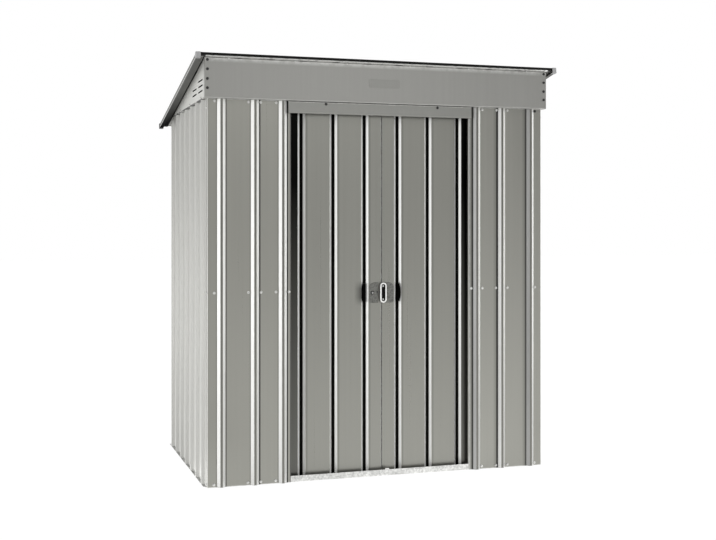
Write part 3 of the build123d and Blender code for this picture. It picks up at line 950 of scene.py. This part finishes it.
# %% [markdown]
# ## Screws
# A shed like this is held by self-tapping screws with a hexagon head, a flange and a
# rubber washer. There are well over a hundred. They could be copied one by one, but then
# a new size means moving every copy. Here Geometry Nodes place one small model at every
# point of a list. Most screws are bright zinc, and a few are blackened.

# %% Screw finishes
zinc_finish = galvanised("screw_zinc", (0.75, 0.75, 0.73), 0.003)
black_finish = moulded("screw_blackened", (0.015, 0.015, 0.015), 0.4)
print("screw finishes ready")

# %% [markdown]
# A Geometry Nodes tree has inputs like a function. This one takes points, the sizes of a
# screw, a seed for the turn of the heads and the finish of the head.

# %% Start the tree that makes screws
SCREW_SIZES = {"Head Radius": 0.0042, "Head Height": 0.0035, "Flange Radius": 0.0062}
SCREW_SEED = 7

screws = bpy.data.node_groups.new("hexagon_screws", "GeometryNodeTree")
screws.interface.new_socket(name="Geometry", in_out="INPUT", socket_type="NodeSocketGeometry")
for name, value in SCREW_SIZES.items():
    socket = screws.interface.new_socket(name=name, in_out="INPUT", socket_type="NodeSocketFloat")
    socket.default_value = value
seed_socket = screws.interface.new_socket(name="Seed", in_out="INPUT", socket_type="NodeSocketInt")
seed_socket.default_value = SCREW_SEED
screws.interface.new_socket(name="Head Finish", in_out="INPUT", socket_type="NodeSocketMaterial")
screws.interface.new_socket(name="Geometry", in_out="OUTPUT", socket_type="NodeSocketGeometry")
sn = screws.nodes
taken, made = sn.new("NodeGroupInput").outputs, sn.new("NodeGroupOutput").inputs
print("tree", screws.name, "takes", [socket.name for socket in taken if socket.name])

# %% [markdown]
# The screw itself is three turned parts on top of each other: a thin washer, a flange that
# narrows towards the head, and the head, a disc with six sides. The washer's faces are
# marked, so that they can be told from the rest when the finishes are set.

# %% One screw


def turned_disc(sides, bottom, top, depth, lift):
    """One turned part of the screw: a short cone standing on the sheet."""
    cone = sn.new("GeometryNodeMeshCone")
    cone.inputs["Vertices"].default_value = sides
    for name, value in (("Radius Bottom", bottom), ("Radius Top", top), ("Depth", depth)):
        fill(screws, cone.inputs[name], value)
    move = sn.new("GeometryNodeTransform")
    move.inputs["Translation"].default_value = (0, 0, lift)
    fill(screws, move.inputs["Geometry"], cone.outputs["Mesh"])
    return move.outputs[0]


WASHER, FLANGE = 0.0008, 0.0010
flange, head = taken["Flange Radius"], taken["Head Radius"]
marked = sn.new("GeometryNodeCaptureAttribute")
marked.domain = "FACE"
marked.capture_items.new("BOOLEAN", "Washer")
fill(screws, marked.inputs["Geometry"], turned_disc(14, flange, flange, WASHER, 0.0))
fill(screws, marked.inputs["Washer"], True)
screw_parts = (
    marked.outputs["Geometry"],
    turned_disc(14, flange, head, FLANGE, WASHER),
    turned_disc(6, head, head, taken["Head Height"], WASHER + FLANGE),
)
join = sn.new("GeometryNodeJoinGeometry")
for part in screw_parts:
    fill(screws, join.inputs[0], part)
print("a screw of", len(screw_parts), "parts")

# %% [markdown]
# Each point carries the direction that its screw faces. The tree turns the screw that way,
# gives its head a chance turn of its own, as a driver leaves it, and then makes all the
# copies real, so that they become one plain mesh. The finishes come last: the head's on
# every face, and then rubber on the marked washers.

# %% Finish the tree
LARGEST_TURN = 1.05

way = sn.new("GeometryNodeInputNamedAttribute")
way.data_type = "FLOAT_VECTOR"
way.inputs["Name"].default_value = "facing"
aim = sn.new("FunctionNodeAlignRotationToVector")
aim.axis = "Z"
fill(screws, aim.inputs["Vector"], way.outputs["Attribute"])
spin = sn.new("FunctionNodeRandomValue")
spin.data_type = "FLOAT"
spin.inputs[3].default_value = LARGEST_TURN
fill(screws, spin.inputs["Seed"], taken["Seed"])
spin_turn = sn.new("ShaderNodeCombineXYZ")
fill(screws, spin_turn.inputs["Z"], spin.outputs[1])
turn = sn.new("FunctionNodeRotateRotation")
turn.rotation_space = "LOCAL"
fill(screws, turn.inputs["Rotation"], aim.outputs[0])
fill(screws, turn.inputs["Rotate By"], spin_turn.outputs[0])
copies = sn.new("GeometryNodeInstanceOnPoints")
fill(screws, copies.inputs["Points"], taken["Geometry"])
fill(screws, copies.inputs["Instance"], join.outputs[0])
fill(screws, copies.inputs["Rotation"], turn.outputs[0])
real = sn.new("GeometryNodeRealizeInstances")
fill(screws, real.inputs[0], copies.outputs[0])
coated, rubbered = (sn.new("GeometryNodeSetMaterial") for _ in range(2))
fill(screws, coated.inputs["Geometry"], real.outputs[0])
fill(screws, coated.inputs["Material"], taken["Head Finish"])
fill(screws, rubbered.inputs["Geometry"], coated.outputs[0])
fill(screws, rubbered.inputs["Selection"], marked.outputs["Washer"])
fill(screws, rubbered.inputs["Material"], rubber_finish)
fill(screws, made["Geometry"], rubbered.outputs[0])
print("tree", screws.name, "with", len(sn), "nodes")

# %% [markdown]
# ## From points to a plain mesh
# The list of points becomes a mesh of bare vertices and the tree runs on it once. What it
# makes is kept as a plain mesh, because an export knows nothing of trees, and the mesh
# rides on the shed or on a door.

# %% Place screws


def place_screws(name, body, points, size=1.0, finish=zinc_finish):
    """Makes one mesh of screws from (place, facing) pairs and lets it ride on a body."""
    mesh = bpy.data.meshes.new(name)
    mesh.from_pydata([p for p, _ in points], [], [])
    layer = mesh.attributes.new("facing", "FLOAT_VECTOR", "POINT")
    for item, (_, direction) in zip(layer.data, points):
        item.vector = direction
    source = bpy.data.objects.new(name + "_points", mesh)
    scene.collection.objects.link(source)
    modifier = source.modifiers.new("screws", "NODES")
    modifier.node_group = screws
    sockets = {s.name: s.identifier for s in screws.interface.items_tree if s.in_out == "INPUT"}
    for key, value in SCREW_SIZES.items():
        modifier[sockets[key]] = value * size
    modifier[sockets["Head Finish"]] = finish
    bpy.context.view_layer.update()
    graph = bpy.context.evaluated_depsgraph_get()
    result = bpy.data.meshes.new_from_object(source.evaluated_get(graph))
    bpy.data.objects.remove(source)
    piece = bpy.data.objects.new(name, result)
    scene.collection.objects.link(piece)
    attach(piece, body)
    print(name, len(points), "screws,", len(result.polygons), "faces")


print("screws of", SCREW_SIZES)

# %% [markdown]
# ## Where the screws go
# They follow the rails behind the sheets: a row along the foot, one at mid height and one
# under the roof, beside the ridges. The front's places were read from the photograph, and
# the sides and the rear follow the pitch of their ridges.

# %% Screws on the walls
FRONT, REAR = (0, -1, 0), (0, 1, 0)
HALF_WIDTH, HALF_DEPTH = 0.785, 0.525
FOOT_ROW, MID_ROW, TOP_ROW = 0.0125, 0.830, 1.650
FRONT_ROWS = (
    (TOP_ROW, (-0.754, -0.607, -0.553, -0.484, 0.487, 0.558, 0.613)),
    (MID_ROW, (-0.755, -0.607, -0.551, -0.485, -0.427, 0.432, 0.487, 0.555, 0.613, 0.753)),
    (FOOT_ROW, (-0.756, -0.609, -0.552, -0.486, 0.484, 0.555, 0.613, 0.751)),
)
REAR_COLUMNS = (0.035, 0.181, 0.327, 0.473, 0.619, 0.765)
SIDE_COLUMNS = (-0.512, -0.400, -0.256, -0.110, 0.036, 0.182, 0.328, 0.474)

points = []
for z, columns in FRONT_ROWS:
    points += [((x, -HALF_DEPTH, z), FRONT) for x in columns]
for z in (1.622, MID_ROW, FOOT_ROW):
    points += [((side * x, HALF_DEPTH, z), REAR) for x in REAR_COLUMNS for side in (-1, 1)]
    points += [((side * HALF_WIDTH, y, z), (side, 0, 0)) for y in SIDE_COLUMNS for side in (-1, 1)]
print(len(points), "screws on the walls")

# %% [markdown]
# The fascia has four blackened screws at each end and a row of small bright ones along its
# top. Two more blackened ones hold the rail over the doorway, one sits at the top of the
# right front wall, and each gable has three bright ones along its foot.

# %% Screws on the fascia, header and gables
dark_points = [((0.753, -HALF_DEPTH, TOP_ROW), FRONT)]
for side in (-1, 1):
    dark_points += [((side * 0.788, FASCIA_FACE, z), FRONT) for z in (1.702, 1.741, 1.782, 1.822)]
    dark_points.append(((side * 0.262, -HALF_DEPTH - 0.012, TOP_ROW), FRONT))
    points += [((side * GABLE_FACE, y, 1.668), (side, 0, 0)) for y in (-0.45, -0.15, 0.12)]
top_points = [((x, FASCIA_FACE, 1.8290), FRONT) for x in (-0.696, -0.405, -0.168, 0.126, 0.410, 0.701)]
place_screws("screws_shed", "shed", points)
place_screws("screws_fascia_top", "shed", top_points, 0.55)
place_screws("screws_shed_dark", "shed", dark_points, finish=black_finish)

# %% [markdown]
# ## Screws on the doors
# The left plate is held by one large bolt in a blackened nut and by one small screw. The
# pull's cup is held from inside by two small screws, which catch the light at its ends.

# %% Screws on the lock plates
PLATE_Y = DOOR_FACE - 0.003
CUP_FLOOR = DOOR_FACE - 0.0105
BOLT_X = -0.0365

nut_point = [((BOLT_X, PLATE_Y, LOCK_Z), FRONT)]
bolt_point = [((BOLT_X, PLATE_Y - 0.0058, LOCK_Z), FRONT)]
small_point = [((-0.0130, PLATE_Y, LOCK_Z + 0.003), FRONT)]
pull_points = [((CUP_X, CUP_FLOOR, LOCK_Z + lift), FRONT) for lift in (0.030, -0.030)]
place_screws("nut_door_left", "door_left", nut_point, 1.35, finish=black_finish)
place_screws("bolt_door_left", "door_left", bolt_point, 0.62)
place_screws("screw_door_left", "door_left", small_point, 0.6, finish=black_finish)
place_screws("screws_pull", "door_right", pull_points, 0.8)

# %% [markdown]
# ## The plain plate on the fascia
# In the middle of the fascia a shallow plate is pressed up from the sheet, a rounded
# rectangle with a soft edge. A bump in the finish could fake it, but it would catch no
# light at its rim. So it is a small mesh: a face that is bevelled at its corners,
# thickened and bevelled again along its rim, and left bare.

# %% Press the plate


def rounded_plate(name, centre, width, height, corner, depth, facing_y):
    """A thin rounded plate standing on a plane that faces -Y."""
    bm = bmesh.new()
    corners = [(-1, -1), (1, -1), (1, 1), (-1, 1)]
    ring = [
        bm.verts.new((centre[0] + sx * width / 2, facing_y, centre[1] + sz * height / 2))
        for sx, sz in corners
    ]
    bm.faces.new(ring)
    bmesh.ops.bevel(bm, geom=list(bm.verts), offset=corner, segments=5, affect="VERTICES")
    top = bmesh.ops.extrude_face_region(bm, geom=list(bm.faces))
    raised = [v for v in top["geom"] if isinstance(v, bmesh.types.BMVert)]
    bmesh.ops.translate(bm, verts=raised, vec=(0, -depth, 0))
    lip = {e for e in bm.edges if all(abs(v.co.y - facing_y + depth) < 1e-6 for v in e.verts)}
    bmesh.ops.bevel(bm, geom=list(lip), offset=depth * 0.7, segments=3, affect="EDGES")
    bmesh.ops.recalc_face_normals(bm, faces=bm.faces)
    mesh = bpy.data.meshes.new(name)
    bm.to_mesh(mesh)
    bm.free()
    piece = bpy.data.objects.new(name, mesh)
    scene.collection.objects.link(piece)
    return piece


plate_finish = coated_steel("bare_plate", (0.32, 0.32, 0.30), metallic=0.6, roughness=0.4)
bare_plate = rounded_plate(
    "bare_plate", (0.005, 1.747), width=0.146, height=0.038, corner=0.004, depth=0.0012,
    facing_y=FASCIA_FACE,
)
bare_plate.data.materials.append(plate_finish)
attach(bare_plate, "shed")
print("plate", len(bare_plate.data.polygons), "faces")
